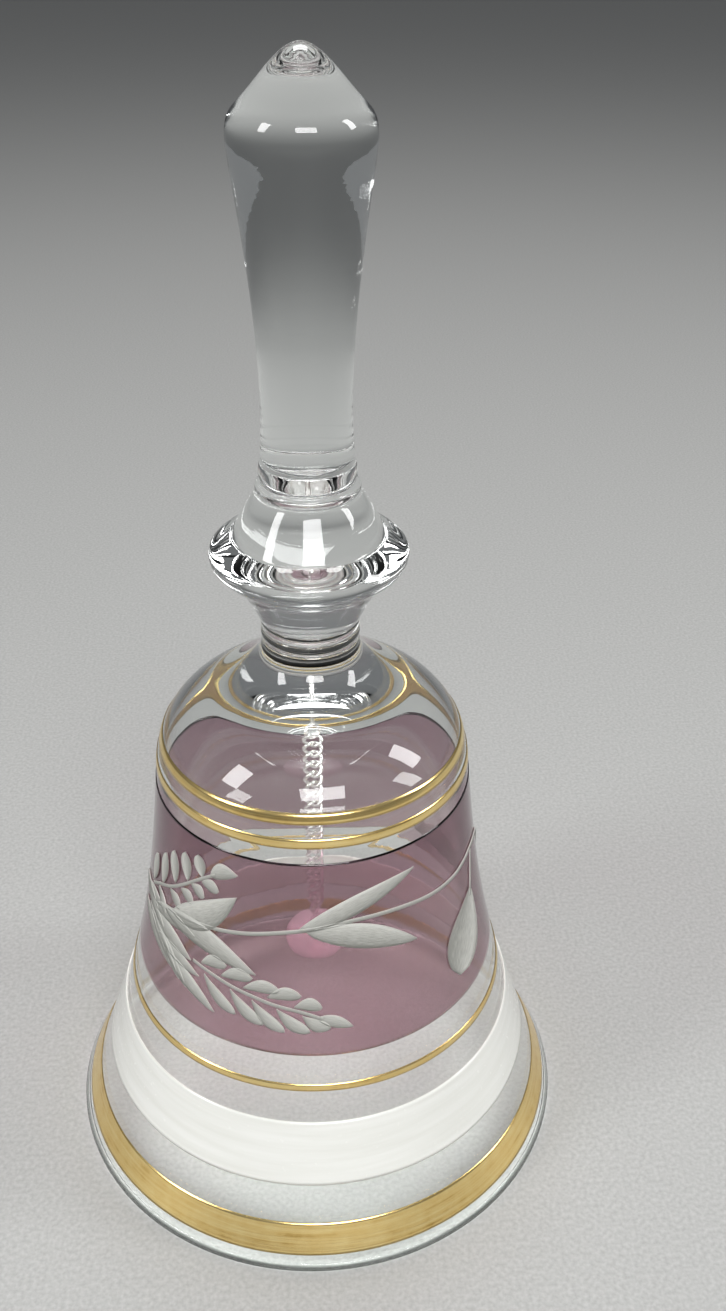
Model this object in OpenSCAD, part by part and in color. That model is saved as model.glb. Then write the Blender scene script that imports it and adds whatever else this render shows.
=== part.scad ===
// Glass hand bell with a solid glass handle and a chained glass clapper.
// Millimetres, +Z up, origin at the centre of the rim's ground face.

/* [Cup] */
// Outer radius of the ground rim
rim_r = 40; // [36:0.5:44]
// Outer radius at the waist, where the stained layer starts
waist_r = 28; // [26:0.5:30]
// Outer radius of the shoulder
shoulder_r = 22.9; // [21:0.1:24.5]
// Wall thickness at the rim
rim_wall = 1.5; // [1.2:0.1:2.2]
// Wall thickness at the shoulder
shoulder_wall = 2.1; // [1.6:0.1:2.6]
// Height of the hollow's apex
hollow_h = 77; // [74:0.5:78.5]
// Height where the dome meets the neck
cup_h = 86.8; // [86:0.2:88]

/* [Decoration] */
// Lower and upper edge of the wide gilt band
gilt_band = [2.4, 7.0]; // [0:0.1:10]
// Lower and upper edge of the white enamel band
enamel_band = [12.8, 22.6]; // [11:0.1:24]
// Lower and upper edge of the thin gilt line
waist_line = [27.5, 28.6]; // [25:0.1:30]
// Lower and upper edge of the amethyst stain
stain_zone = [33.2, 64.6]; // [31:0.1:66]
// Lower and upper edge of the lower shoulder line
lower_line = [67.0, 68.5]; // [66:0.1:69]
// Lower and upper edge of the upper shoulder line
upper_line = [70.5, 72.0]; // [69.5:0.1:73]
// Thickness of fired gilt
gilt_t = 0.12; // [0.1:0.01:0.2]
// Thickness of the enamel
enamel_t = 0.25; // [0.15:0.05:0.4]
// Thickness of the stained layer
stain_t = 0.2; // [0.1:0.05:0.4]

/* [Handle] */
// Radius of the neck
neck_r = 6.8; // [6.2:0.05:7.2]
// Height where the neck ends and the knop starts
neck_top = 90; // [89.5:0.1:90.6]
// Radius of the knop
knop_r = 13.48; // [12:0.1:15]
// Half height of the knop's rounded rim, under its widest circle
knop_under_h = 5.5; // [5:0.1:6]
// Half height of the knop's rounded rim, over its widest circle
knop_over_h = 4.05; // [3.5:0.05:4.5]
// Height of the knop's widest circle
knop_h = 99.9; // [99.5:0.1:100.5]
// Height where the knop's flare meets the collar
collar_h = 108.6; // [108:0.1:109.5]
// Radius of the collar's lower ring
collar_r = 7.0; // [6.6:0.1:7.6]
// Height where the grip starts
grip_h = 112.8; // [112:0.1:113.5]
// Radius of the grip at its waist
grip_waist_r = 5.9; // [5:0.1:6.5]
// Largest radius of the grip, under its point
grip_top_r = 8.78; // [8:0.02:9.4]
// Height of the whole bell
bell_h = 162; // [155:0.5:170]

/* [Clapper] */
// Number of chain links
link_count = 19; // [15:1:19]
// Distance from one link's bar to the next
link_pitch = 1.8; // [1.7:0.05:1.9]
// Outer width of a link
link_w = 2.6; // [2.4:0.1:2.8]
// Diameter of the chain, eye and pin wire
wire_d = 0.55; // [0.45:0.05:0.6]
// Play between two linked wires
link_play = 0.1; // [0.05:0.05:0.15]
// Height of the eye's lowest bar, where the chain hangs
eye_z = 71.6; // [71:0.1:72.5]
// Radius of the bead
bead_r = 4.9; // [4:0.1:5.2]
// Half height of the bead
bead_half_h = 3.2; // [2.8:0.1:3.6]
// Radius of the bead's bore
bead_bore_r = 0.8; // [0.7:0.05:1]
// Radius of the pin's shank
pin_r = 0.5; // [0.35:0.05:0.6]

/* [Hidden] */
$fn = 64;
link_names = [for (k = [1:link_count]) str("chain_link_", k < 10 ? "0" : "", k)];

waist_z = 33;
shoulder_z = 66;
dome_z = 78.9;
dome_r = 14.5;
glass_colour = [0.86, 0.90, 0.88, 0.45];
gilt_colour = [0.93, 0.78, 0.40];
metal_colour = [0.80, 0.80, 0.82];

// A point on the cubic curve through four control points.
function bezier(c, t) =
    c[0] * pow(1 - t, 3) + 3 * c[1] * t * pow(1 - t, 2)
    + 3 * c[2] * t * t * (1 - t) + c[3] * pow(t, 3);
// n + 1 points along the curve, without the first when skip is 1.
function curve(c, n, skip = 0) = [for (i = [skip:n]) bezier(c, i / n)];
// The curve parameter at height z, by halving.
function t_at(c, z, lo = 0, hi = 1, steps = 30) =
    steps == 0 ? (lo + hi) / 2
    : bezier(c, (lo + hi) / 2)[1] < z
        ? t_at(c, z, (lo + hi) / 2, hi, steps - 1)
        : t_at(c, z, lo, (lo + hi) / 2, steps - 1);

// The cup's outside, from the rim to the neck, as four curves.
flare = [[rim_r, 0], [rim_r - 3.4, 4.9], [waist_r + 3.4, 19.4], [waist_r, waist_z]];
waist = [[waist_r, waist_z], [waist_r - 2.67, 43.7],
         [shoulder_r + 1.1, 55.1], [shoulder_r, shoulder_z]];
shoulder = [[shoulder_r, shoulder_z], [shoulder_r - 0.5, 73],
            [shoulder_r - 3.4, 76], [dome_r, dome_z]];
dome_flare = [[dome_r, dome_z], [10.4, 81.55], [neck_r + 0.2, 83], [neck_r, cup_h]];
// The hollow's dome, from the shoulder to the apex.
hollow_dome = [[shoulder_r - shoulder_wall, shoulder_z], [shoulder_r - 2.4, 72],
               [16, hollow_h - 0.3], [0, hollow_h]];

function outer_r(z) =
    z <= waist_z ? bezier(flare, t_at(flare, z))[0]
    : z <= shoulder_z ? bezier(waist, t_at(waist, z))[0]
    : bezier(shoulder, t_at(shoulder, z))[0];
function wall(z) = rim_wall + (shoulder_wall - rim_wall) * z / shoulder_z;
// Outline points on the outside between two heights, about 1.5 mm apart.
function zone(z0, z1, lift = 0, skip = 0) =
    let (n = max(1, ceil((z1 - z0) / 1.5)))
    [for (i = [skip:n]) let (z = z0 + (z1 - z0) * i / n) [outer_r(z) + lift, z]];
function reversed(p) = [for (i = [len(p) - 1:-1:0]) p[i]];

edge = 0.3;
hole_depth = 3;
eye_ring_r = 1.2;

module bell_cup() {
    outside = concat(
        [[rim_r - edge - 0.15, 0]],
        zone(edge, gilt_band[0]),
        zone(gilt_band[0], gilt_band[1], skip = 1),
        zone(gilt_band[1], enamel_band[0], skip = 1),
        zone(enamel_band[0], enamel_band[1], skip = 1),
        zone(enamel_band[1], waist_line[0], skip = 1),
        zone(waist_line[0], waist_line[1], skip = 1),
        zone(waist_line[1], stain_zone[0], skip = 1),
        zone(stain_zone[0], stain_zone[1], skip = 1),
        zone(stain_zone[1], lower_line[0], skip = 1),
        zone(lower_line[0], lower_line[1], skip = 1),
        zone(lower_line[1], upper_line[0], skip = 1),
        zone(upper_line[0], upper_line[1], skip = 1),
        zone(upper_line[1], dome_z, skip = 1),
        curve(dome_flare, 10, 1));
    inside = concat(
        reversed(curve(hollow_dome, 14, 1)),
        [for (z = [shoulder_z:-2:edge]) [outer_r(z) - wall(z), z]],
        [[rim_r - rim_wall, edge], [rim_r - rim_wall + edge, 0]]);
    color(glass_colour)
    difference() {
        rotate_extrude(convexity = 6)
            polygon(concat(outside, [[0, cup_h]], inside));
        translate([0, 0, hollow_h - 1])
            cylinder(d = wire_d, h = hole_depth + 1);
    }
}

// A skin of the given thickness on the cup's outside between two heights.
module skin(range, t) {
    rotate_extrude(convexity = 4)
        polygon(concat(zone(range[0], range[1]), reversed(zone(range[0], range[1], t))));
}

module amethyst_stain() {
    color([0.36, 0.20, 0.26, 0.75]) skin(stain_zone, stain_t);
}

module enamel_band() {
    color([0.95, 0.95, 0.91]) skin(enamel_band, enamel_t);
}

module rim_gilt_band() {
    color(gilt_colour) skin(gilt_band, gilt_t);
}

module waist_gilt_line() {
    color(gilt_colour) skin(waist_line, gilt_t);
}

module lower_shoulder_line() {
    color(gilt_colour) skin(lower_line, gilt_t);
}

module upper_shoulder_line() {
    color(gilt_colour) skin(upper_line, gilt_t);
}

// A half-round bead of outline round the axis, from height z0 to z1.
function ring_outline(r, bulge, z0, z1) =
    [for (a = [-90:15:90]) [r + bulge * cos(a), (z0 + z1) / 2 + (z1 - z0) / 2 * sin(a)]];

module handle_neck() {
    color(glass_colour)
    rotate_extrude()
        polygon(concat(
            [[0, cup_h]],
            ring_outline(neck_r - 0.15, 0.25, cup_h, cup_h + 1.5),
            ring_outline(neck_r - 0.15, 0.2, cup_h + 1.7, neck_top - 0.3),
            [[neck_r + 0.2, neck_top], [0, neck_top]]));
}

module handle_knop() {
    under_r = 11.1;
    over_r = 10.45;
    rim = function (a) [knop_r * cos(a), knop_h + (a < 0 ? knop_under_h : knop_over_h) * sin(a)];
    low = acos(under_r / knop_r);
    high = acos(over_r / knop_r);
    color(glass_colour)
    rotate_extrude()
        polygon(concat(
            [[0, neck_top]],
            curve([[neck_r + 0.2, neck_top], [7.35, 91.2], [9.8, 96], rim(-low)], 8),
            [for (i = [1:23]) rim(-low + (low + high) * i / 23)],
            curve([rim(high), [9.6, 103.9], [8.3, 106.85], [collar_r - 0.05, collar_h]], 8, 1),
            [[0, collar_h]]));
}

module handle_collar() {
    split = collar_h + 1.6;
    color(glass_colour)
    rotate_extrude()
        polygon(concat(
            [[0, collar_h]],
            ring_outline(collar_r - 0.5, 0.5, collar_h, split - 0.1),
            ring_outline(collar_r - 0.85, 0.35, split + 0.1, grip_h),
            [[0, grip_h]]));
}

module handle_grip() {
    cone = [7.65, bell_h - 6.5];
    widest_z = bell_h - 10;
    waist_at = 121;
    color(glass_colour)
    rotate_extrude()
        polygon(concat(
            [[0, grip_h]],
            curve([[grip_waist_r + 0.3, grip_h], [grip_waist_r + 0.1, 115.5],
                   [grip_waist_r, 117.5], [grip_waist_r, waist_at]], 6),
            curve([[grip_waist_r, waist_at], [grip_waist_r, waist_at + 13.9],
                   [grip_top_r, widest_z - 3], [grip_top_r, widest_z]], 18, 1),
            curve([[grip_top_r, widest_z], [grip_top_r, widest_z + 1.4],
                   [grip_top_r - 0.15, widest_z + 2.5], cone], 8, 1),
            curve([cone, [cone[0] - 2.7, cone[1] + 2.45],
                   [2.6, bell_h - 0.1], [0, bell_h]], 10, 1)));
}

// Half a wire ring in the XZ plane, above the origin.
module half_ring(r) {
    rotate([90, 0, 0])
        rotate_extrude(angle = 180) translate([r, 0]) circle(d = wire_d);
}

module wire_ring(r) {
    half_ring(r);
    rotate([180, 0, 0]) half_ring(r);
}

// Each ring or link stands a quarter turn round from the one above it.
function turn(k) = 45 + 90 * k;

module clapper_eye() {
    color(metal_colour)
    translate([0, 0, eye_z + eye_ring_r]) {
        rotate([0, 0, turn(0)]) wire_ring(eye_ring_r);
        translate([0, 0, eye_ring_r])
            cylinder(d = wire_d, h = hollow_h + hole_depth - eye_z - 2 * eye_ring_r);
    }
}

module chain_link(k) {
    arc_r = (link_w - wire_d) / 2;
    bar_gap = link_pitch + wire_d + link_play;
    side = bar_gap - 2 * arc_r;
    color(metal_colour)
    translate([0, 0, eye_z - k * link_pitch + bar_gap / 2])
    rotate([0, 0, turn(k)]) {
        translate([0, 0, side / 2]) half_ring(arc_r);
        translate([0, 0, -side / 2]) rotate([180, 0, 0]) half_ring(arc_r);
        for (x = [-arc_r, arc_r])
            translate([x, 0, -side / 2]) cylinder(d = wire_d, h = side);
    }
}

last_bar_z = eye_z - link_count * link_pitch;
pin_ring_r = 1.0;
pin_ring_z = last_bar_z + wire_d + link_play - pin_ring_r;
bead_z = 31.2;
head_h = 0.45;

module bead_pin() {
    head_top = bead_z - bead_half_h - 0.02;
    shank_top = pin_ring_z - pin_ring_r;
    color(metal_colour) {
        translate([0, 0, pin_ring_z])
            rotate([0, 0, turn(link_count + 1)]) wire_ring(pin_ring_r);
        translate([0, 0, head_top - head_h])
            cylinder(r = pin_r, h = shank_top - head_top + head_h);
        translate([0, 0, head_top - head_h])
            cylinder(r = 1.15, h = head_h);
    }
}

module clapper_bead() {
    bore_angle = acos(bead_bore_r / bead_r);
    color([0.93, 0.72, 0.78, 0.8])
    translate([0, 0, bead_z])
    rotate_extrude()
        polygon([for (i = [0:36])
            let (a = -bore_angle + 2 * bore_angle * i / 36)
            [bead_r * cos(a), bead_half_h * sin(a)]]);
}

bell_cup();
amethyst_stain();
enamel_band();
rim_gilt_band();
waist_gilt_line();
lower_shoulder_line();
upper_shoulder_line();
handle_neck();
handle_knop();
handle_collar();
handle_grip();
clapper_eye();
for (k = [1:link_count])
    chain_link(k);
bead_pin();
clapper_bead();
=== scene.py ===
# Glass hand bell: stained and gilded cup, solid glass handle, glass bead clapper on a curb chain.
# Metres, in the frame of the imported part: +Z up, origin at the middle of the ground rim.
import math

import bmesh
import bpy
from mathutils import Matrix, Vector


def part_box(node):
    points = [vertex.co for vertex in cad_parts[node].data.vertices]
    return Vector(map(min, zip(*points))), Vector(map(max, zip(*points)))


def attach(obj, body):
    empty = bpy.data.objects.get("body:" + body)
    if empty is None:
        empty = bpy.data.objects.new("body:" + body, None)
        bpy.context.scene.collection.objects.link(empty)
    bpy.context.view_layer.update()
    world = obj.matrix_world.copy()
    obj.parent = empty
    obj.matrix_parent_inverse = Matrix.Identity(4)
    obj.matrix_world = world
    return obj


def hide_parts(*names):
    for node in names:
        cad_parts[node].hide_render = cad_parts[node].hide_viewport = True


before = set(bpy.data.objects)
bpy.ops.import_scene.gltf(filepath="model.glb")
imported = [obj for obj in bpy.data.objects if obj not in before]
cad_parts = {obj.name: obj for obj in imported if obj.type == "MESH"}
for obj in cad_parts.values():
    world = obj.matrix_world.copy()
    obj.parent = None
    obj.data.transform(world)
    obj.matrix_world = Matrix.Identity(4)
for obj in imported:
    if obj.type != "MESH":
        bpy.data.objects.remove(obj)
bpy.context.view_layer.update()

# ---- Camera ----
# It stands close in front of the bell, a little over its top, and looks down on it. At this short
# distance the rim shows far wider than the shoulder.
eye_back = 0.1558
eye_height = 0.1791
look_down = math.radians(31.65)
look_right = math.radians(2.7)
camera_roll = math.radians(0.4)
focal_in_heights = 0.989
camera_data = bpy.data.cameras.new("camera")
camera_data.sensor_fit = "VERTICAL"
camera_data.sensor_height = 24
camera_data.lens = focal_in_heights * camera_data.sensor_height
camera_data.clip_start = 0.01
camera = bpy.data.objects.new("camera", camera_data)
camera.matrix_world = (
    Matrix.Translation((0, -eye_back, eye_height))
    @ Matrix.Rotation(-look_right, 4, "Z")
    @ Matrix.Rotation(math.pi / 2 - look_down, 4, "X")
    @ Matrix.Rotation(camera_roll, 4, "Z")
)
bpy.context.collection.objects.link(camera)
bpy.context.scene.camera = camera

# ---- Table, light and room ----
# A plain pale matt table top that runs out of sight. Four soft boxes light it, like windows on
# three sides and a panel overhead, in a pale grey room.


def add(tree, kind, values=None, **settings):
    """A node with its settings, and its sockets' values or links from other nodes' outputs."""
    made = tree.nodes.new(kind)
    for key, value in settings.items():
        setattr(made, key, value)
    for socket, value in (values or {}).items():
        if isinstance(value, bpy.types.NodeSocket):
            tree.links.new(value, made.inputs[socket])
        else:
            made.inputs[socket].default_value = value
    return made


def new_material(name):
    material = bpy.data.materials.new(name)
    material.use_nodes = True
    material.node_tree.nodes.clear()
    return material, material.node_tree


def finish_material(tree, surface):
    add(tree, "ShaderNodeOutputMaterial", {"Surface": surface})


def ramp(tree, fac, stops):
    """A colour ramp with (position, colour) stops."""
    made = add(tree, "ShaderNodeValToRGB", {"Fac": fac})
    for i, (position, colour) in enumerate(stops):
        stop = made.color_ramp.elements[i] if i < 2 else made.color_ramp.elements.new(position)
        stop.position = position
        stop.color = (*colour, 1) if len(colour) == 3 else colour
    return made.outputs["Color"]


def grey(value):
    return (value, value, value)


def table_material():
    material, tree = new_material("table_top")
    place = add(tree, "ShaderNodeTexCoord").outputs["Object"]
    grain = add(tree, "ShaderNodeTexNoise", {"Vector": place, "Scale": 1500, "Detail": 3})
    colour = ramp(tree, grain.outputs["Fac"], [(0.3, (0.37, 0.37, 0.36)), (0.7, (0.47, 0.47, 0.46))])
    bump = add(tree, "ShaderNodeBump", {"Height": grain.outputs["Fac"], "Distance": 0.0001, "Strength": 0.3})
    top = add(tree, "ShaderNodeBsdfPrincipled",
              {"Base Color": colour, "Roughness": 0.6, "Normal": bump.outputs["Normal"]})
    finish_material(tree, top.outputs["BSDF"])
    return material


table_half = 3.0
table_data = bpy.data.meshes.new("table_top")
table_data.from_pydata(
    [(-table_half, -table_half, 0), (table_half, -table_half, 0),
     (table_half, table_half, 0), (-table_half, table_half, 0)], [], [(0, 1, 2, 3)])
table = bpy.data.objects.new("table_top", table_data)
table_data.materials.append(table_material())
bpy.context.collection.objects.link(table)


def soft_box(name, place, width, height, watts, aim=(0, 0, 0.08)):
    light = bpy.data.lights.new(name, "AREA")
    light.shape = "RECTANGLE"
    light.size = width
    light.size_y = height
    light.energy = watts
    lamp = bpy.data.objects.new(name, light)
    toward = Vector(aim) - Vector(place)
    lamp.matrix_world = Matrix.Translation(place) @ toward.to_track_quat("-Z", "Y").to_matrix().to_4x4()
    bpy.context.collection.objects.link(lamp)


soft_box("window_left", (-0.60, -0.30, 0.50), 0.18, 0.34, 2.7)
soft_box("window_right", (0.62, -0.05, 0.48), 0.14, 0.34, 2.0)
soft_box("ceiling_panel", (0.0, 0.30, 0.85), 0.42, 0.22, 3.0)
soft_box("window_front", (0.10, -0.80, 0.62), 0.50, 0.28, 6.0)
room = bpy.data.worlds.new("room")
room.use_nodes = True
room.node_tree.nodes["Background"].inputs["Color"].default_value = (0.60, 0.62, 0.64, 1)
room.node_tree.nodes["Background"].inputs["Strength"].default_value = 0.27
bpy.context.scene.world = room
scene_settings = bpy.context.scene
scene_settings.view_settings.view_transform = "Standard"
scene_settings.cycles.max_bounces = 24
scene_settings.cycles.transmission_bounces = 20
scene_settings.cycles.transparent_max_bounces = 24
scene_settings.cycles.use_denoising = True

# ---- Glass of the cup and handle ----
# Clear glass: the cup is blown thin, and the handle's neck, knop, collar and grip are solid
# gathers fused to it hot, so the whole is one skin of glass with no seams inside.
MM = 0.001
around = 192
rim_r = 40.0
cup_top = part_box("bell_cup")[1].z / MM
neck_r = 6.8
shoulder_z = 66
dome_z = 78.9


def bezier(points, t):
    a, b, c, d = (Vector(p) for p in points)
    return a * (1 - t) ** 3 + b * 3 * t * (1 - t) ** 2 + c * 3 * t * t * (1 - t) + d * t ** 3


def curve(points, steps, skip=1):
    return [tuple(bezier(points, i / steps)) for i in range(skip, steps + 1)]


flare = [(rim_r, 0), (36.6, 4.9), (31.4, 19.4), (28, 33)]
waist = [(28, 33), (25.33, 43.7), (24, 55.1), (22.9, shoulder_z)]
shoulder = [(22.9, shoulder_z), (22.4, 73), (19.5, 76), (14.5, dome_z)]
dome_flare = [(14.5, dome_z), (10.4, 81.55), (neck_r + 0.2, 83.0), (neck_r, cup_top)]
hollow_dome = [(20.8, shoulder_z), (20.5, 72), (16, 76.7), (0, 77)]
fine = [tuple(bezier(part, i / 200)) for part in (flare, waist, shoulder) for i in range(201)]


def outer_r(z):
    """The cup's outside radius at height z, in millimetres."""
    low = 0
    high = len(fine) - 1
    while high - low > 1:
        middle = (low + high) // 2
        if fine[middle][1] <= z:
            low = middle
        else:
            high = middle
    (r0, z0), (r1, z1) = fine[low], fine[high]
    return r0 + (r1 - r0) * (z - z0) / max(z1 - z0, 1e-9)


def outside(z0, z1, lift=0.0, step=0.5):
    """Outline points on the cup's outside between two heights."""
    count = max(2, math.ceil((z1 - z0) / step))
    heights = [z0 + (z1 - z0) * i / count for i in range(count + 1)]
    return [(outer_r(z) + lift, z) for z in heights]


def turned(name, outline, body, material, replaced=()):
    """A piece turned round the bell's axis from an outline in millimetres.

    The outline closes at the axis, or its last point joins its first.
    """
    verts = []
    rings = []
    for r, z in outline:
        if r < 1e-6:
            rings.append([len(verts)])
            verts.append((0, 0, z * MM))
            continue
        rings.append(list(range(len(verts), len(verts) + around)))
        for i in range(around):
            angle = 2 * math.pi * i / around
            verts.append((r * math.cos(angle) * MM, r * math.sin(angle) * MM, z * MM))
    pairs = list(zip(rings, rings[1:]))
    if len(rings[0]) > 1 and len(rings[-1]) > 1:
        pairs.append((rings[-1], rings[0]))
    faces = []
    for a, b in pairs:
        if len(a) == len(b) == 1:
            continue
        for i in range(around):
            j = (i + 1) % around
            if len(a) == 1:
                faces.append((a[0], b[i], b[j]))
            elif len(b) == 1:
                faces.append((a[i], a[j], b[0]))
            else:
                faces.append((a[i], a[j], b[j], b[i]))
    data = bpy.data.meshes.new(name)
    data.from_pydata(verts, [], faces)
    return settle(name, data, body, material, replaced)


def settle(name, data, body, material, replaced=()):
    """Turns a mesh's faces outwards, smooths it and seats it on its body."""
    work = bmesh.new()
    work.from_mesh(data)
    bmesh.ops.recalc_face_normals(work, faces=work.faces)
    work.to_mesh(data)
    work.free()
    data.shade_smooth()
    data.materials.clear()
    data.materials.append(material)
    piece = bpy.data.objects.new(name, data)
    bpy.context.collection.objects.link(piece)
    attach(piece, body)
    if replaced:
        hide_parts(*replaced)
    return piece


def ring_outline(r, bulge, z0, z1):
    """A half-round bead of outline, in millimetres."""
    mid = (z0 + z1) / 2
    half = (z1 - z0) / 2
    angles = [math.radians(a) for a in range(-90, 91, 10)]
    return [(r + bulge * math.cos(a), mid + half * math.sin(a)) for a in angles]


def glass_outline():
    """The cup's and handle's whole section: up the outside, then down the inside to the rim."""
    neck_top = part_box("handle_neck")[1].z / MM
    collar_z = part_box("handle_knop")[1].z / MM
    grip_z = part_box("handle_collar")[1].z / MM
    tip_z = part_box("handle_grip")[1].z / MM
    knop_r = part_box("handle_knop")[1].x / MM
    collar_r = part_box("handle_collar")[1].x / MM
    grip_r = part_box("handle_grip")[1].x / MM
    knop_z, under, over = 99.9, 5.5, 4.05
    grip_waist, waist_z = 5.9, 121.0
    widest = tip_z - 10
    cone = (7.65, tip_z - 6.5)
    edge, rim_wall, shoulder_wall = 0.35, 1.5, 2.1

    def knop(angle):
        return (knop_r * math.cos(angle), knop_z + (under if angle < 0 else over) * math.sin(angle))

    low = math.acos(11.1 / knop_r)
    high = math.acos(10.45 / knop_r)
    quarter = [math.radians(a) for a in range(0, 91, 15)]
    outer_edge = rim_r - 0.2
    outline = [(outer_edge - edge + edge * math.sin(a), edge - edge * math.cos(a)) for a in quarter]
    outline += outside(edge, dome_z)[1:]
    outline += curve(dome_flare, 24)
    outline += ring_outline(neck_r - 0.15, 0.25, cup_top + 0.05, cup_top + 1.5)
    outline += ring_outline(neck_r - 0.15, 0.2, cup_top + 1.7, neck_top - 0.3)
    outline += curve([(neck_r + 0.2, neck_top), (7.35, neck_top + 1.2), (9.8, 96), knop(-low)], 16, 0)
    outline += [knop(-low + (low + high) * i / 48) for i in range(1, 49)]
    outline += curve([knop(high), (9.6, 103.9), (8.3, 106.85), (collar_r - 0.05, collar_z)], 16)
    outline += ring_outline(collar_r - 0.5, 0.5, collar_z + 0.05, collar_z + 1.5)
    outline += ring_outline(collar_r - 0.85, 0.35, collar_z + 1.7, grip_z - 0.05)
    outline += curve([(grip_waist + 0.3, grip_z), (grip_waist + 0.1, 115.5),
                      (grip_waist, 117.5), (grip_waist, waist_z)], 10, 0)
    outline += curve([(grip_waist, waist_z), (grip_waist, waist_z + 13.9),
                      (grip_r, widest - 3), (grip_r, widest)], 36)
    outline += curve([(grip_r, widest), (grip_r, widest + 1.4), (grip_r - 0.15, widest + 2.5), cone], 16)
    outline += curve([cone, (cone[0] - 2.7, cone[1] + 2.45), (2.6, tip_z - 0.1), (0, tip_z)], 24)
    outline += reversed(curve(hollow_dome, 30))
    inner_step = 0.75
    inner_heights = [shoulder_z - inner_step * i for i in range(88)]
    thicker = shoulder_wall - rim_wall
    outline += [(outer_r(z) - rim_wall - thicker * z / shoulder_z, z) for z in inner_heights]
    inner_edge = outer_edge - rim_wall + edge
    outline += [(inner_edge - edge * math.cos(a), edge - edge * math.sin(a)) for a in quarter]
    return outline


def finish_glass(tree, glass, colour):
    """Ends a glass material: in shadows it only tints the light, so lamps reach what it holds."""
    clear = add(tree, "ShaderNodeBsdfTransparent", {"Color": colour})
    path = add(tree, "ShaderNodeLightPath")
    both = add(tree, "ShaderNodeMixShader",
               {0: path.outputs["Is Shadow Ray"], 1: glass.outputs["BSDF"], 2: clear.outputs["BSDF"]})
    finish_material(tree, both.outputs["Shader"])


def clear_glass():
    """Colourless glass with faint striae from hand working."""
    material, tree = new_material("clear_glass")
    place = add(tree, "ShaderNodeTexCoord").outputs["Object"]
    stretch = add(tree, "ShaderNodeMapping", {"Vector": place, "Scale": (60, 60, 420)})
    striae = add(tree, "ShaderNodeTexNoise", {"Vector": stretch.outputs["Vector"], "Scale": 1.0, "Detail": 3})
    swell = add(tree, "ShaderNodeTexNoise", {"Vector": place, "Scale": 55, "Detail": 1})
    mixed = add(tree, "ShaderNodeMath", {0: striae.outputs["Fac"], 1: swell.outputs["Fac"]}, operation="ADD")
    bump = add(tree, "ShaderNodeBump",
               {"Height": mixed.outputs["Value"], "Distance": 0.0002, "Strength": 0.05})
    smear = add(tree, "ShaderNodeTexNoise", {"Vector": place, "Scale": 140, "Detail": 5})
    rough = add(tree, "ShaderNodeMapRange", {"Value": smear.outputs["Fac"], "From Min": 0.55,
                                             "From Max": 0.8, "To Min": 0.0, "To Max": 0.06})
    glass = add(tree, "ShaderNodeBsdfPrincipled",
                {"Base Color": (0.97, 0.99, 0.98, 1), "Roughness": rough.outputs["Result"], "IOR": 1.5,
                 "Transmission Weight": 1.0, "Normal": bump.outputs["Normal"]})
    finish_glass(tree, glass, (0.93, 0.95, 0.94, 1))
    return material


turned("glass_cup_and_handle", glass_outline(), "bell", clear_glass(),
       ["bell_cup", "handle_neck", "handle_knop", "handle_collar", "handle_grip"])

# ---- Amethyst stain ----
# A transparent purple-brown stain, painted on the body and fired in. It is a touch darker near the
# top and where it pools along both edges. Sizes are in millimetres.
skin_lift = 0.02
stain_thickness = 0.06


def band_outline(node, thickness):
    """A thin skin on the cup's outside, over the node's height."""
    low, high = (corner.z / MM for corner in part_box(node))
    inner = outside(low, high, skin_lift)
    outer = outside(low, high, skin_lift + thickness)
    return inner + outer[::-1]


def stain():
    material, tree = new_material("amethyst_stain")
    place = add(tree, "ShaderNodeTexCoord").outputs["Object"]
    low, high = (corner.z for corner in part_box("amethyst_stain"))
    height = add(tree, "ShaderNodeSeparateXYZ", {"Vector": place}).outputs["Z"]
    up = add(tree, "ShaderNodeMapRange", {"Value": height, "From Min": low, "From Max": high})
    cloud = add(tree, "ShaderNodeTexNoise", {"Vector": place, "Scale": 70, "Detail": 4})
    drift = add(tree, "ShaderNodeMapRange", {"Value": cloud.outputs["Fac"], "To Min": -0.12, "To Max": 0.12})
    shifted = add(tree, "ShaderNodeMath",
                  {0: up.outputs["Result"], 1: drift.outputs["Result"]}, operation="ADD")
    pale, deep = (0.51, 0.34, 0.39), (0.45, 0.28, 0.34)
    colour = ramp(tree, shifted.outputs["Value"], [(0.0, pale), (1.0, deep), (0.5, pale)])
    pooled = grey(0.8)
    edge = ramp(tree, up.outputs["Result"],
                [(0.0, pooled), (1.0, pooled), (0.015, grey(1)), (0.985, grey(1))])
    tint = add(tree, "ShaderNodeMix", {0: 1.0, 6: colour, 7: edge}, data_type="RGBA", blend_type="MULTIPLY")
    bump = add(tree, "ShaderNodeBump", {"Height": cloud.outputs["Fac"], "Distance": 0.0001, "Strength": 0.1})
    rough = add(tree, "ShaderNodeMapRange", {"Value": cloud.outputs["Fac"], "To Min": 0.0, "To Max": 0.05})
    skin = add(tree, "ShaderNodeBsdfPrincipled",
               {"Base Color": tint.outputs[2], "Roughness": rough.outputs["Result"], "IOR": 1.5,
                "Transmission Weight": 1.0, "Normal": bump.outputs["Normal"]})
    # A shadow ray meets both faces of the skin, so each face takes the square root of the tint.
    one_face = add(tree, "ShaderNodeGamma", {"Color": tint.outputs[2], "Gamma": 0.5})
    finish_glass(tree, skin, one_face.outputs["Color"])
    return material


turned("amethyst_stain_skin", band_outline("amethyst_stain", stain_thickness), "bell", stain(),
       ["amethyst_stain"])

# ---- White enamel band ----
# White enamel, laid on with a brush while the bell turns on a wheel, then fired glossy. It is thin
# enough to let a little light through.
enamel_thickness = 0.2


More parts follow.
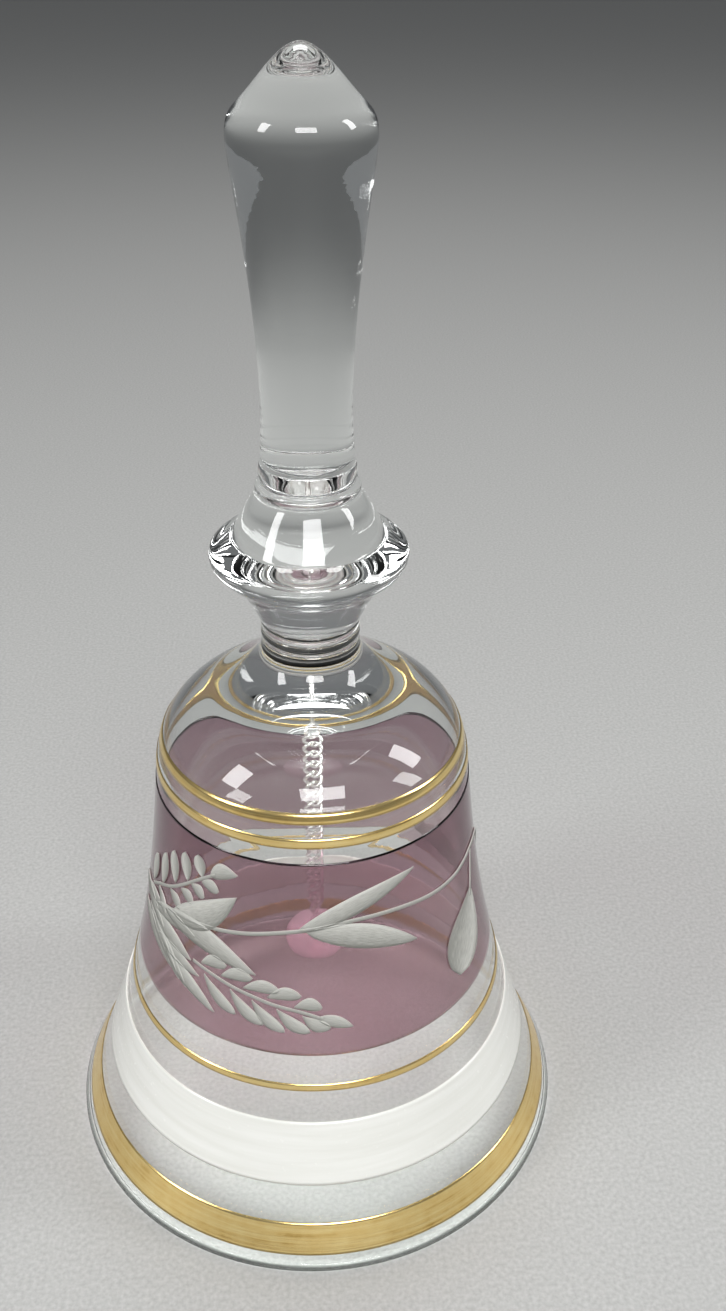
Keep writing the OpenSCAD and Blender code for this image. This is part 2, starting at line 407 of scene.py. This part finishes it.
def enamel():
    material, tree = new_material("white_enamel")
    place = add(tree, "ShaderNodeTexCoord").outputs["Object"]
    stroke = add(tree, "ShaderNodeMapping", {"Vector": place, "Scale": (60, 60, 900)})
    brush = add(tree, "ShaderNodeTexNoise", {"Vector": stroke.outputs["Vector"], "Scale": 1, "Detail": 4})
    colour = ramp(tree, brush.outputs["Fac"], [(0.3, (0.83, 0.83, 0.78)), (0.7, (0.90, 0.90, 0.86))])
    speck = add(tree, "ShaderNodeTexNoise", {"Vector": place, "Scale": 1400, "Detail": 2})
    relief = add(tree, "ShaderNodeMath", {0: brush.outputs["Fac"], 1: speck.outputs["Fac"]}, operation="ADD")
    bump = add(tree, "ShaderNodeBump",
               {"Height": relief.outputs["Value"], "Distance": 0.0001, "Strength": 0.15})
    rough = add(tree, "ShaderNodeMapRange", {"Value": speck.outputs["Fac"], "To Min": 0.12, "To Max": 0.34})
    gloss = add(tree, "ShaderNodeBsdfPrincipled",
                {"Base Color": colour, "Roughness": rough.outputs["Result"], "Normal": bump.outputs["Normal"],
                 "Coat Weight": 0.4})
    through = add(tree, "ShaderNodeBsdfTranslucent", {"Color": colour})
    share_through = 0.1
    mixed = add(tree, "ShaderNodeMixShader",
                {0: share_through, 1: gloss.outputs["BSDF"], 2: through.outputs["BSDF"]})
    finish_material(tree, mixed.outputs["Shader"])
    return material


turned("white_enamel_band", band_outline("enamel_band", enamel_thickness), "bell", enamel(),
       ["enamel_band"])

# ---- Gilt band and lines ----
# Bright gold, painted on with a fine brush on the banding wheel and fired; thin in places, with
# fine brush lines that run round the bell.
gilt_thickness = 0.08


def gilt():
    material, tree = new_material("fired_gilt")
    place = add(tree, "ShaderNodeTexCoord").outputs["Object"]
    stroke = add(tree, "ShaderNodeMapping", {"Vector": place, "Scale": (70, 70, 2600)})
    brush = add(tree, "ShaderNodeTexNoise", {"Vector": stroke.outputs["Vector"], "Scale": 1, "Detail": 5})
    worn = add(tree, "ShaderNodeTexNoise", {"Vector": place, "Scale": 450, "Detail": 6})
    mixed = add(tree, "ShaderNodeMix", {0: 0.4, 2: brush.outputs["Fac"], 3: worn.outputs["Fac"]})
    colour = ramp(tree, mixed.outputs[0], [(0.30, (0.60, 0.39, 0.11)), (0.7, (1.0, 0.80, 0.38)),
                                           (0.42, (0.90, 0.65, 0.25))])
    bump = add(tree, "ShaderNodeBump", {"Height": mixed.outputs[0], "Distance": 0.0001, "Strength": 0.35})
    rough = add(tree, "ShaderNodeMapRange", {"Value": mixed.outputs[0], "To Min": 0.34, "To Max": 0.12})
    metal = add(tree, "ShaderNodeBsdfPrincipled",
                {"Base Color": colour, "Metallic": 1.0, "Roughness": rough.outputs["Result"],
                 "Normal": bump.outputs["Normal"]})
    finish_material(tree, metal.outputs["BSDF"])
    return material


fired_gilt = gilt()
for node in ("rim_gilt_band", "waist_gilt_line", "lower_shoulder_line", "upper_shoulder_line"):
    turned("fired_" + node, band_outline(node, gilt_thickness), "bell", fired_gilt, [node])

# ---- Engraving ----
# Leaves, ferns and a bud, cut through the stain with copper wheels: each cut is a shallow frosted
# groove with fine lines along it, and its colour carries painted shade on one side of the groove and
# painted light on the other. Places are degrees round from the front and millimetres up.
engraving_lift = 0.32
engraving_thickness = 0.12
mean_r = 26.0


def wrap(x, y, lift):
    """A point of the flat drawing, x mm round and y mm up, laid on the cup's outside."""
    r = outer_r(y) + lift
    angle = x / mean_r
    return (r * math.sin(angle) * MM, -r * math.cos(angle) * MM, y * MM)


def cut_leaf(strips, base, tip, width, bend=0.0, blunt=0.0, widest=0.45):
    """A leaf-shaped cut from base to tip.

    Blunt fills its ends out, and widest says how far along it is fullest.
    """
    skew = math.log(0.5) / math.log(widest)
    x0, y0 = math.radians(base[0]) * mean_r, base[1]
    x1, y1 = math.radians(tip[0]) * mean_r, tip[1]
    dx, dy = x1 - x0, y1 - y0
    length = math.hypot(dx, dy)
    nx, ny = -dy / length, dx / length
    steps, across, depth = 14, 6, 0.1
    rows = []
    for i in range(steps + 1):
        t = i / steps
        full = math.sin(math.pi * t ** skew) ** (0.8 - 0.3 * blunt)
        half = width / 2 * max(full, 0.03)
        middle = bend * math.sin(math.pi * t)
        row = []
        for j in range(across + 1):
            v = 2 * j / across - 1
            off = middle + half * v
            lift = engraving_lift - depth * (1 - v * v)
            row.append((wrap(x0 + dx * t + nx * off, y0 + dy * t + ny * off, lift), (t * length, v)))
        rows.append(row)
    strips.append(rows)


def cut_stem(strips, points, width):
    """A fine line, smoothly curved through its points."""
    path = [(math.radians(a) * mean_r, y) for a, y in points]
    steps, depth = 6, 0.06
    fine_path = []
    for i in range(len(path) - 1):
        p0, p1 = path[max(i - 1, 0)], path[i]
        p2, p3 = path[i + 1], path[min(i + 2, len(path) - 1)]
        for k in range(steps):
            t = k / steps
            fine_path.append(tuple(
                0.5 * (2 * p1[c] + (p2[c] - p0[c]) * t + (2 * p0[c] - 5 * p1[c] + 4 * p2[c] - p3[c]) * t * t
                       + (3 * p1[c] - p0[c] - 3 * p2[c] + p3[c]) * t ** 3) for c in (0, 1)))
    fine_path.append(path[-1])
    rows = []
    run = 0.0
    for i, (x, y) in enumerate(fine_path):
        xa, ya = fine_path[max(i - 1, 0)]
        xb, yb = fine_path[min(i + 1, len(fine_path) - 1)]
        size = math.hypot(xb - xa, yb - ya)
        nx, ny = -(yb - ya) / size, (xb - xa) / size
        row = []
        for j in range(5):
            v = j / 2 - 1
            lift = engraving_lift - depth * (1 - v * v)
            row.append((wrap(x + nx * v * width / 2, y + ny * v * width / 2, lift), (run, v)))
        rows.append(row)
        run += size / 2
    strips.append(rows)


def engraved(name, strips, material):
    """One piece from strips of points, each a thin plate with an underside."""
    verts, faces, marks = [], [], []
    sink = engraving_thickness * MM
    for rows in strips:
        wide = len(rows[0])
        start = len(verts)
        top = [[start + i * wide + j for j in range(wide)] for i in range(len(rows))]
        for row in rows:
            for place, mark in row:
                verts.append(place)
                marks.append(mark)
        under_start = len(verts)
        under = [[under_start + i * wide + j for j in range(wide)] for i in range(len(rows))]
        for row in rows:
            for place, mark in row:
                flat = math.hypot(place[0], place[1])
                keep = (flat - sink) / flat
                verts.append((place[0] * keep, place[1] * keep, place[2]))
                marks.append(mark)
        for i in range(len(rows) - 1):
            for j in range(wide - 1):
                faces.append((top[i][j], top[i + 1][j], top[i + 1][j + 1], top[i][j + 1]))
                faces.append((under[i][j], under[i][j + 1], under[i + 1][j + 1], under[i + 1][j]))
        border = [(i, 0) for i in range(len(rows))] + [(len(rows) - 1, j) for j in range(1, wide)]
        border += [(i, wide - 1) for i in range(len(rows) - 2, -1, -1)]
        border += [(0, j) for j in range(wide - 2, 0, -1)]
        for (i, j), (k, m) in zip(border, border[1:] + border[:1]):
            faces.append((top[i][j], under[i][j], under[k][m], top[k][m]))
    data = bpy.data.meshes.new(name)
    data.from_pydata(verts, [], faces)
    layer = data.uv_layers.new(name="cut")
    for loop in data.loops:
        layer.data[loop.index].uv = marks[loop.vertex_index]
    return settle(name, data, "bell", material)


def frosted_cut():
    material, tree = new_material("frosted_cut")
    cut = add(tree, "ShaderNodeUVMap", uv_map="cut").outputs["UV"]
    lines = add(tree, "ShaderNodeMapping", {"Vector": cut, "Scale": (0.35, 5.0, 1)})
    wheel = add(tree, "ShaderNodeTexNoise", {"Vector": lines.outputs["Vector"], "Scale": 2.2, "Detail": 5})
    # Painted shade and painted light: the colour runs from dark on one side of each groove to light on the
    # other, mixed half and half with the wheel lines.
    side = add(tree, "ShaderNodeSeparateXYZ", {"Vector": cut}).outputs["Y"]
    painted_side_shade = add(tree, "ShaderNodeMapRange", {"Value": side, "From Min": -1, "From Max": 1})
    shade = add(tree, "ShaderNodeMix", {0: 0.5, 2: wheel.outputs["Fac"], 3: painted_side_shade.outputs["Result"]})
    colour = ramp(tree, shade.outputs[0], [(0.28, (0.34, 0.34, 0.31)), (0.72, (0.74, 0.74, 0.69))])
    bump = add(tree, "ShaderNodeBump", {"Height": wheel.outputs["Fac"], "Distance": 0.0002, "Strength": 0.6})
    frost = add(tree, "ShaderNodeBsdfPrincipled",
                {"Base Color": colour, "Roughness": 0.5, "Transmission Weight": 0.25, "IOR": 1.5,
                 "Normal": bump.outputs["Normal"]})
    finish_material(tree, frost.outputs["BSDF"])
    return material


frosted = frosted_cut()

bouquet = []
cut_leaf(bouquet, (-55, 48.9), (-26.7, 57.5), 4.6, bend=-1.1)
cut_leaf(bouquet, (-60, 48.2), (-19.4, 45.6), 4.0, bend=1.7)
cut_leaf(bouquet, (-68, 46.4), (-43, 47.8), 2.6, bend=0.8)
cut_leaf(bouquet, (-68, 45.2), (-44, 43.4), 2.8, bend=0.6)
cut_leaf(bouquet, (-63, 42.8), (-40, 41.6), 2.2, bend=0.3)
cut_leaf(bouquet, (-57, 41.6), (-33, 37.1), 2.5, bend=0.5)
cut_leaf(bouquet, (-68, 44.4), (-45, 38.4), 2.1, bend=0.6)
cut_leaf(bouquet, (-74, 44.6), (-48.5, 38.8), 2.1, bend=0.8)
cut_leaf(bouquet, (-80, 43.6), (-53, 39.6), 2.2, bend=0.6)
cut_leaf(bouquet, (-84, 47.0), (-60, 44.6), 2.4, bend=0.5)
engraved("engraved_leaf_bouquet", bouquet, frosted)

spray = []
cut_stem(spray, [(-58, 48.8), (-41, 50.5), (-34, 51.1), (-24.5, 52.0), (-12, 53.3), (-4.5, 53.9),
                 (9, 54.9), (19, 55.1), (30, 54.9), (43, 54.3), (55, 54.1), (63, 54.4), (72, 54.6),
                 (84, 53.2), (93, 49.0), (100, 42.5)], 0.6)
cut_leaf(spray, (-6, 53.8), (35, 60.6), 3.0, bend=0.5)
cut_leaf(spray, (-3, 53.7), (34.6, 48.5), 4.0, bend=1.0)
cut_leaf(spray, (99, 41.0), (138, 38.4), 6.6, bend=-0.5, blunt=0.5)
engraved("engraved_stem_and_leaves", spray, frosted)

bud = []
cut_leaf(bud, (66, 48.6), (51.5, 37.2), 9.4, blunt=0.7, widest=0.6)
cut_stem(bud, [(65, 47.2), (67.5, 50.5), (70, 54.2)], 0.5)
engraved("engraved_bud", bud, frosted)

upper_fern = []
cut_stem(upper_fern, [(-72, 48.8), (-66, 50.6), (-57.5, 52.7), (-51.4, 54.6), (-41.3, 58.1),
                      (-35, 60.0)], 0.5)
cut_leaf(upper_fern, (-37, 59.6), (-26.3, 61.2), 2.5, bend=0.7)
for base, tip in (((-72, 49.4), (-69, 55.0)), ((-63, 51.6), (-61.5, 57.4)), ((-54.5, 54.2), (-56, 59.4)),
                  ((-47.5, 56.4), (-49.5, 60.8)), ((-40.5, 58.6), (-43, 61.8))):
    cut_leaf(upper_fern, base, tip, 2.4, blunt=0.8, widest=0.58)
for base, tip in (((-66, 50.2), (-60, 47.0)), ((-57.5, 52.3), (-51.0, 50.5)), ((-51, 54.2), (-44.5, 53.2)),
                  ((-45.6, 56.3), (-39.6, 55.2)), ((-40.8, 57.8), (-33.5, 57.4))):
    cut_leaf(upper_fern, base, tip, 2.0, bend=0.3, blunt=0.5, widest=0.58)
cut_leaf(upper_fern, (-78, 46.8), (-62, 47.6), 2.0, bend=0.4)
engraved("engraved_upper_fern", upper_fern, frosted)

lower_fern = []
cut_stem(lower_fern, [(-43, 43.8), (-35.2, 43.3), (-27.5, 42.6), (-20.5, 42.0), (-13.9, 41.3),
                      (-4.5, 40.4), (1.6, 39.3)], 0.5)
for base, tip in (((-39.5, 44.2), (-29.6, 45.6)), ((-31.5, 43.7), (-20.4, 44.9)),
                  ((-23.5, 43.0), (-11.6, 43.7)), ((-15.5, 42.3), (-4.8, 43.1)), ((-7, 41.2), (1.6, 41.2))):
    cut_leaf(lower_fern, base, tip, 2.1, bend=0.6, blunt=0.6, widest=0.6)
for base, tip in (((-38, 42.6), (-25.6, 38.2)), ((-28, 42.0), (-16.6, 37.6)), ((-20.5, 41.3), (-9.8, 37.0)),
                  ((-12.5, 40.6), (-2.2, 37.1)), ((-4.5, 39.8), (4, 37.7))):
    cut_leaf(lower_fern, base, tip, 2.0, bend=-0.4, blunt=0.5, widest=0.6)
cut_leaf(lower_fern, (0, 39.5), (10.8, 37.6), 1.9, bend=0.2)
engraved("engraved_lower_fern", lower_fern, frosted)

# ---- Clapper's eye ----
# A loop of silver-plated wire, whose stem is set in the glass at the hollow's apex. The chain hangs
# from it, and the pin at the chain's end is of the same wire.


def plated():
    material, tree = new_material("silver_plated_wire")
    place = add(tree, "ShaderNodeTexCoord").outputs["Object"]
    tarnish = add(tree, "ShaderNodeTexNoise", {"Vector": place, "Scale": 900, "Detail": 5})
    colour = ramp(tree, tarnish.outputs["Fac"], [(0.35, (0.88, 0.86, 0.84)), (0.65, (0.99, 0.98, 0.97))])
    rough = add(tree, "ShaderNodeMapRange", {"Value": tarnish.outputs["Fac"], "To Min": 0.3, "To Max": 0.1})
    bump = add(tree, "ShaderNodeBump",
               {"Height": tarnish.outputs["Fac"], "Distance": 0.0001, "Strength": 0.25})
    metal = add(tree, "ShaderNodeBsdfPrincipled",
                {"Base Color": colour, "Metallic": 0.8, "Roughness": rough.outputs["Result"],
                 "Normal": bump.outputs["Normal"]})
    finish_material(tree, metal.outputs["BSDF"])
    return material


silver = plated()
for node in ("clapper_eye", "bead_pin"):
    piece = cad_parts[node]
    piece.data.materials.clear()
    piece.data.materials.append(silver)

# ---- Chain ----
# A fine curb chain: each soldered link of wire is twisted a quarter turn from end to end, so that
# all the links lie the same way and look like a cord. Sizes in this section are in metres.
link_width = 0.0023
link_length = 0.00255
wire_d = 0.00055
link_slack = 0.0001


def link_tree():
    """One twisted link: an oval of wire, turned about its length in step with its height."""
    tree = bpy.data.node_groups.new("twisted_link", "GeometryNodeTree")
    tree.interface.new_socket("Geometry", in_out="INPUT", socket_type="NodeSocketGeometry")
    for name, value in (("Width", link_width), ("Length", link_length), ("Wire", wire_d),
                        ("Twist", math.pi / 2), ("Middle", 0.0)):
        socket = tree.interface.new_socket(name, in_out="INPUT", socket_type="NodeSocketFloat")
        socket.default_value = value
    tree.interface.new_socket("Material", in_out="INPUT", socket_type="NodeSocketMaterial")
    tree.interface.new_socket("Geometry", in_out="OUTPUT", socket_type="NodeSocketGeometry")
    given = add(tree, "NodeGroupInput").outputs
    oval = add(tree, "GeometryNodeCurvePrimitiveCircle", {"Resolution": 28, "Radius": 0.5})
    place = add(tree, "ShaderNodeSeparateXYZ", {"Vector": add(tree, "GeometryNodeInputPosition").outputs[0]})
    across = add(tree, "ShaderNodeMath", {0: place.outputs["X"], 1: given["Width"]}, operation="MULTIPLY")
    along = add(tree, "ShaderNodeMath", {0: place.outputs["Y"], 1: given["Length"]}, operation="MULTIPLY")
    turn = add(tree, "ShaderNodeMath", {0: place.outputs["Y"], 1: given["Twist"]}, operation="MULTIPLY")
    cosine = add(tree, "ShaderNodeMath", {0: turn.outputs[0]}, operation="COSINE")
    sine = add(tree, "ShaderNodeMath", {0: turn.outputs[0]}, operation="SINE")
    x = add(tree, "ShaderNodeMath", {0: across.outputs[0], 1: cosine.outputs[0]}, operation="MULTIPLY")
    y = add(tree, "ShaderNodeMath", {0: across.outputs[0], 1: sine.outputs[0]}, operation="MULTIPLY")
    z = add(tree, "ShaderNodeMath", {0: along.outputs[0], 1: given["Middle"]}, operation="ADD")
    spot = add(tree, "ShaderNodeCombineXYZ", {0: x.outputs[0], 1: y.outputs[0], 2: z.outputs[0]})
    bent = add(tree, "GeometryNodeSetPosition",
               {"Geometry": oval.outputs["Curve"], "Position": spot.outputs[0]})
    half = add(tree, "ShaderNodeMath", {0: given["Wire"], 1: 0.5}, operation="MULTIPLY")
    wire = add(tree, "GeometryNodeCurvePrimitiveCircle", {"Resolution": 12, "Radius": half.outputs[0]})
    swept = add(tree, "GeometryNodeCurveToMesh",
                {"Curve": bent.outputs[0], "Profile Curve": wire.outputs["Curve"]})
    real = add(tree, "GeometryNodeRealizeInstances", {"Geometry": swept.outputs[0]})
    painted = add(tree, "GeometryNodeSetMaterial",
                  {"Geometry": real.outputs[0], "Material": given["Material"]})
    add(tree, "NodeGroupOutput", {"Geometry": painted.outputs[0]})
    return tree


def set_input(modifier, name, value):
    sockets = modifier.node_group.interface.items_tree
    found = next(s for s in sockets if s.name == name and s.in_out == "INPUT")
    modifier[found.identifier] = value


twisted_link = link_tree()
for node in sorted(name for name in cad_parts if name.startswith("chain_link_")):
    low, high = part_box(node)
    seed_data = bpy.data.meshes.new(node + "_seed")
    seed = bpy.data.objects.new(node + "_seed", seed_data)
    bpy.context.collection.objects.link(seed)
    maker = seed.modifiers.new("link", "NODES")
    maker.node_group = twisted_link
    set_input(maker, "Length", high.z - low.z - wire_d + link_slack)
    set_input(maker, "Wire", wire_d)
    set_input(maker, "Middle", (low.z + high.z) / 2)
    set_input(maker, "Material", silver)
    bpy.context.view_layer.update()
    graph = bpy.context.evaluated_depsgraph_get()
    made = bpy.data.meshes.new_from_object(seed.evaluated_get(graph))
    bpy.data.objects.remove(seed)
    settle("curb_" + node, made, node, silver, [node])

# ---- Bead ----
# A pressed bead of pale pink glass, flatter than a ball and slightly milky. It is bored through and
# held on a headed wire pin, on which it can spin.


def pink_glass():
    material, tree = new_material("pink_glass")
    place = add(tree, "ShaderNodeTexCoord").outputs["Object"]
    cloud = add(tree, "ShaderNodeTexNoise", {"Vector": place, "Scale": 260, "Detail": 3})
    colour = ramp(tree, cloud.outputs["Fac"], [(0.3, (1.0, 0.95, 0.97)), (0.7, (1.0, 0.98, 0.99))])
    bump = add(tree, "ShaderNodeBump", {"Height": cloud.outputs["Fac"], "Distance": 0.0002, "Strength": 0.25})
    rough = add(tree, "ShaderNodeMapRange", {"Value": cloud.outputs["Fac"], "To Min": 0.02, "To Max": 0.12})
    glass = add(tree, "ShaderNodeBsdfPrincipled",
                {"Base Color": colour, "Roughness": rough.outputs["Result"], "IOR": 1.52,
                 "Transmission Weight": 0.6, "Normal": bump.outputs["Normal"]})
    finish_glass(tree, glass, (0.99, 0.93, 0.95, 1))
    return material


bead_low, bead_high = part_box("clapper_bead")
bead_r = bead_high.x / MM
bead_mid = (bead_low.z + bead_high.z) / 2 / MM
bore_r = 0.8
bead_half = 3.2
start = math.acos(bore_r / bead_r)
bead_steps = 40
bead_outline = [(bead_r * math.cos(a), bead_mid + bead_half * math.sin(a))
                for a in (-start + 2 * start * i / bead_steps for i in range(bead_steps + 1))]
turned("pink_glass_bead", bead_outline, "clapper_bead", pink_glass(), ["clapper_bead"])
